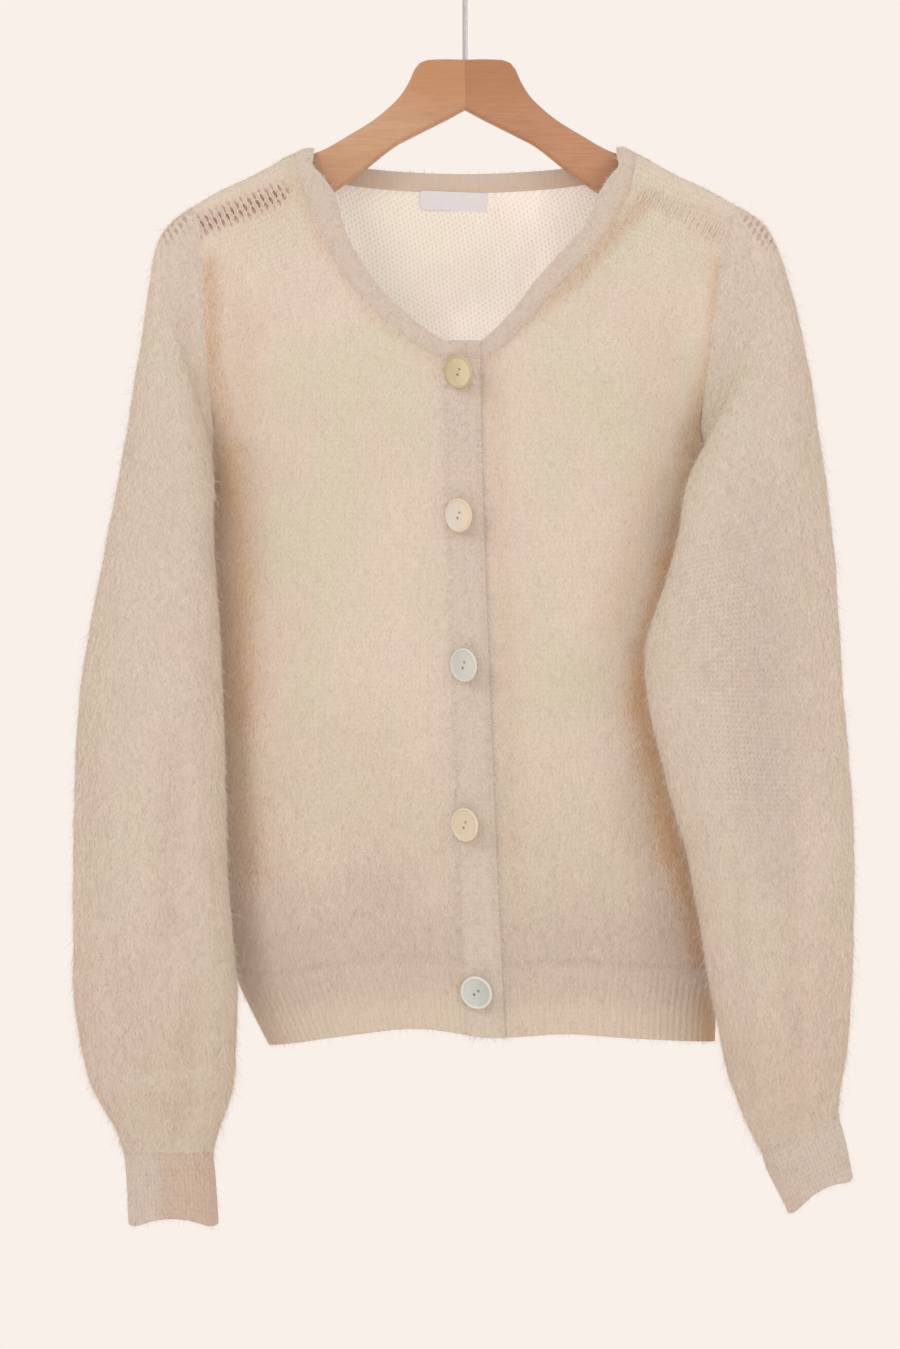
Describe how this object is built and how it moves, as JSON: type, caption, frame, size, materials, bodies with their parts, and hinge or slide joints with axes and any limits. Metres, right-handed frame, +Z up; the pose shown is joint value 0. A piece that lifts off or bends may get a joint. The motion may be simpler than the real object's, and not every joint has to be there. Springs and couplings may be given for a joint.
{
  "type": "button cardigan on hanger",
  "caption": "V-neck cardigan in brushed mohair with long puffed sleeves, ribbed hem and cuffs and a buttoned front, hanging on a contoured wooden hanger.",
  "frame": {"origin": "the inner crown of the hanger's hook, the point that rests on a rail", "axes": "+Z up along the hook's shank, -Y towards the front of the cardigan, +X towards the wearer's left"},
  "size_m": [0.5115, 0.1093, 0.8574],
  "materials": {
    "mohair_knit": "brushed",
    "mohair_rib": "ribbed knit",
    "cream_button": "polished shell",
    "pearl_button": "polished shell",
    "label_cloth": "woven satin",
    "hanger_wood": "satin",
    "hook_steel": "polished"
  },
  "bodies": {
    "root": {"front_right": "mohair_knit", "front_left": "mohair_knit", "back": "mohair_knit", "sleeve_right_upper": "mohair_knit", "sleeve_right_middle": "mohair_knit", "sleeve_right_lower": "mohair_knit", "sleeve_left_upper": "mohair_knit", "sleeve_left_middle": "mohair_knit", "sleeve_left_lower": "mohair_knit", "hem_rib_front_right": "mohair_rib", "hem_rib_front_left": "mohair_rib", "hem_rib_back": "mohair_rib", "cuff_right": "mohair_rib", "cuff_left": "mohair_rib", "buttonhole_band": "mohair_rib", "button_band": "mohair_rib", "neckband": "mohair_rib", "button_1": "cream_button", "button_4": "cream_button", "button_2": "pearl_button", "button_3": "pearl_button", "button_5": "pearl_button", "neck_label": "label_cloth", "hanger_half_right": "hanger_wood", "hanger_half_left": "hanger_wood", "hanger_hook": "hook_steel"}
  },
  "joints": []
}
